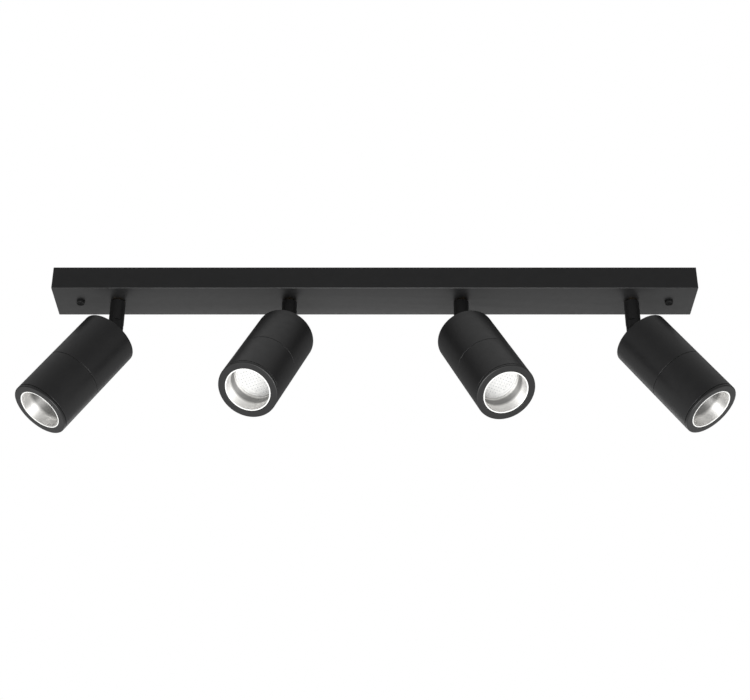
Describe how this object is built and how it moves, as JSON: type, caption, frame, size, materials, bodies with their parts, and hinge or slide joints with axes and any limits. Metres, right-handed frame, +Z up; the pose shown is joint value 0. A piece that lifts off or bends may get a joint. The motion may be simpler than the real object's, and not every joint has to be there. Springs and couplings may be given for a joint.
{
  "type": "track lighting fixture",
  "caption": "Black ceiling light bar with a row of cylindrical spotlights, each on a swivelling stem with a tilting knuckle and a recessed silver reflector.",
  "frame": {"origin": "on the ceiling plane, in the middle of the mounting bracket's top face", "axes": "+Z up into the ceiling, +X along the bar, -Y towards the front, where the spotlights point at rest"},
  "size_m": [0.6433, 0.1031, 0.1649],
  "materials": {
    "bar_powder_coat": "satin",
    "head_powder_coat": "satin",
    "black_screws": "satin",
    "zinc_steel": "satin",
    "brass_fittings": "satin",
    "silver_reflector": "polished",
    "white_optic": "gloss",
    "circuit_board": "satin",
    "bare_aluminium": "satin",
    "driver_plastic": "matte",
    "terminal_plastic": "satin",
    "lead_sheath": "matte"
  },
  "bodies": {
    "canopy": {"canopy_pan": "bar_powder_coat", "mounting_bracket": "zinc_steel", "bracket_foot_left": "zinc_steel", "bracket_foot_right": "zinc_steel", "canopy_screw_left": "black_screws", "canopy_screw_right": "black_screws", "led_driver": "driver_plastic", "driver_clip": "zinc_steel", "terminal_block": "terminal_plastic", "earth_screw": "brass_fittings", "lead_1": "lead_sheath", "lead_2": "lead_sheath", "lead_3": "lead_sheath", "lead_4": "lead_sheath"},
    "swivel_1": {"swivel_nipple_1": "brass_fittings", "swivel_nut_1": "brass_fittings", "stem_1": "head_powder_coat", "pivot_screw_1": "black_screws"},
    "head_1": {"rear_housing_1": "head_powder_coat", "front_barrel_1": "head_powder_coat", "bezel_ring_1": "head_powder_coat", "reflector_1": "silver_reflector", "lens_plate_1": "white_optic", "led_board_1": "circuit_board", "heat_sink_1": "bare_aluminium"},
    "swivel_2": {"swivel_nipple_2": "brass_fittings", "swivel_nut_2": "brass_fittings", "stem_2": "head_powder_coat", "pivot_screw_2": "black_screws"},
    "head_2": {"rear_housing_2": "head_powder_coat", "front_barrel_2": "head_powder_coat", "bezel_ring_2": "head_powder_coat", "reflector_2": "silver_reflector", "lens_plate_2": "white_optic", "led_board_2": "circuit_board", "heat_sink_2": "bare_aluminium"},
    "swivel_3": {"swivel_nipple_3": "brass_fittings", "swivel_nut_3": "brass_fittings", "stem_3": "head_powder_coat", "pivot_screw_3": "black_screws"},
    "head_3": {"rear_housing_3": "head_powder_coat", "front_barrel_3": "head_powder_coat", "bezel_ring_3": "head_powder_coat", "reflector_3": "silver_reflector", "lens_plate_3": "white_optic", "led_board_3": "circuit_board", "heat_sink_3": "bare_aluminium"},
    "swivel_4": {"swivel_nipple_4": "brass_fittings", "swivel_nut_4": "brass_fittings", "stem_4": "head_powder_coat", "pivot_screw_4": "black_screws"},
    "head_4": {"rear_housing_4": "head_powder_coat", "front_barrel_4": "head_powder_coat", "bezel_ring_4": "head_powder_coat", "reflector_4": "silver_reflector", "lens_plate_4": "white_optic", "led_board_4": "circuit_board", "heat_sink_4": "bare_aluminium"}
  },
  "joints": [
    {"name": "pan_1", "type": "hinge", "parent": "canopy", "child": "swivel_1", "pos_m": [-0.2408, 0, -0.0229], "axis": [0, 0, 1], "range_deg": [-104.8, 245.2]},
    {"name": "tilt_1", "type": "hinge", "parent": "swivel_1", "child": "head_1", "pos_m": [-0.2408, 0, -0.0556], "axis": [-0.3387, 0.9409, 0], "range_deg": [-32.5, 57.5]},
    {"name": "pan_2", "type": "hinge", "parent": "canopy", "child": "swivel_2", "pos_m": [-0.08, 0, -0.0229], "axis": [0, 0, 1], "range_deg": [-145.5, 204.5]},
    {"name": "tilt_2", "type": "hinge", "parent": "swivel_2", "child": "head_2", "pos_m": [-0.08, 0, -0.0556], "axis": [-0.8704, 0.4924, 0], "range_deg": [-33.7, 56.3]},
    {"name": "pan_3", "type": "hinge", "parent": "canopy", "child": "swivel_3", "pos_m": [0.0809, 0, -0.0229], "axis": [0, 0, 1], "range_deg": [-208.4, 141.6]},
    {"name": "tilt_3", "type": "hinge", "parent": "swivel_3", "child": "head_3", "pos_m": [0.0809, 0, -0.0556], "axis": [-0.8348, -0.5505, 0], "range_deg": [-32.9, 57.1]},
    {"name": "pan_4", "type": "hinge", "parent": "canopy", "child": "swivel_4", "pos_m": [0.2407, 0, -0.0229], "axis": [0, 0, 1], "range_deg": [-246.2, 103.8]},
    {"name": "tilt_4", "type": "hinge", "parent": "swivel_4", "child": "head_4", "pos_m": [0.2407, 0, -0.0556], "axis": [-0.3223, -0.9466, 0], "range_deg": [-33.3, 56.7]}
  ]
}
